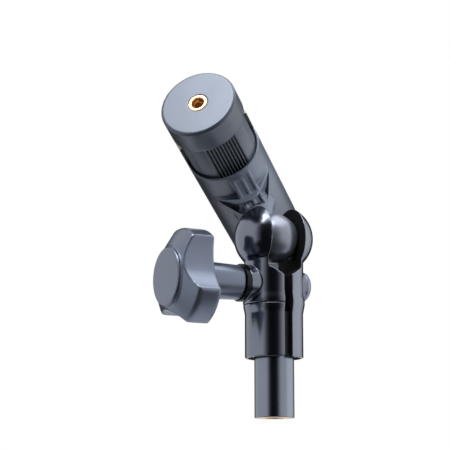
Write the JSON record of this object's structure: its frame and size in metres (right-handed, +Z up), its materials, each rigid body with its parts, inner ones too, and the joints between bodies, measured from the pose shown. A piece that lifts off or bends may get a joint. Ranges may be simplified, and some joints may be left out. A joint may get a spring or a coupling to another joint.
{
  "type": "phone holder",
  "caption": "Phone holder with a spring jaw slider, a ball joint in a split knob clamp, and a short support tube.",
  "frame": {"origin": "centre of the lower end of the support tube", "axes": "+Z up along the tube, -Y the open front of the clamp window, -X toward the clamp knob"},
  "size_m": [0.0946, 0.0895, 0.1391],
  "materials": {
    "grey_casting": "satin",
    "cream_rubber": "matte",
    "dark_steel": "satin",
    "bright_steel": "satin",
    "grey_plastic": "satin",
    "brass": "polished",
    "black_plastic": "satin",
    "black_rubber": "matte",
    "black_casting": "gloss",
    "liner_plastic": "matte",
    "knob_plastic": "satin",
    "black_tube": "satin"
  },
  "bodies": {
    "support": {"support_tube": "black_tube", "tube_top_plug": "liner_plastic", "pivot_screw": "dark_steel", "sleeve_bush": "black_plastic", "tube_thread_insert": "brass"},
    "clamp": {"clamp_half_right": "black_casting", "cup_liner_right": "liner_plastic", "clamp_bolt": "dark_steel"},
    "loose_half": {"clamp_half_left": "black_casting", "cup_liner_left": "liner_plastic", "thrust_washer": "bright_steel"},
    "knob": {"knob": "knob_plastic", "knob_insert": "brass", "knob_cap": "knob_plastic"},
    "ball": {"ball": "grey_casting"},
    "holder": {"housing": "grey_casting", "lower_jaw": "grey_casting", "lower_jaw_pad": "cream_rubber", "lower_jaw_screws": "dark_steel", "stop_screw": "dark_steel", "spring_pin_lower": "bright_steel", "return_spring": "bright_steel"},
    "jaw": {"slider": "grey_plastic", "jaw_head": "grey_plastic", "head_screws": "dark_steel", "thread_insert": "brass", "upper_jaw_pad": "cream_rubber", "support_tongue": "black_plastic", "tongue_pad": "black_rubber", "spring_pin_upper": "bright_steel"}
  },
  "joints": [
    {"name": "clamp_turn", "type": "hinge", "parent": "support", "child": "clamp", "pos_m": [0, 0, 0.046], "axis": [0, 0, 1], "continuous": true},
    {"name": "half_open", "type": "slide", "parent": "clamp", "child": "loose_half", "axis": [-1, 0, 0], "range_m": [0, 0.00125]},
    {"name": "knob_turn", "type": "hinge", "parent": "loose_half", "child": "knob", "pos_m": [-0.04, 0, 0.0552], "axis": [-1, 0, 0], "range_deg": [0, 360]},
    {"name": "holder_tilt", "type": "hinge", "parent": "clamp", "child": "ball", "pos_m": [0, 0, 0.075], "axis": [1, 0, 0], "range_deg": [-31.5, 107.5]},
    {"name": "holder_roll", "type": "hinge", "parent": "ball", "child": "holder", "pos_m": [0, 0, 0.075], "axis": [-0.1045, 0.6137, 0.7826], "continuous": true},
    {"name": "jaw_slide", "type": "slide", "parent": "holder", "child": "jaw", "axis": [-0.6833, -0.6161, 0.3918], "range_m": [-0.0149, 0.0141], "stiffness_N_per_m": 800, "deforming": ["return_spring"]}
  ],
  "couplings": [
    {"joint": "knob_turn", "follows": "half_open", "rad_per_m": 5026.5}
  ]
}
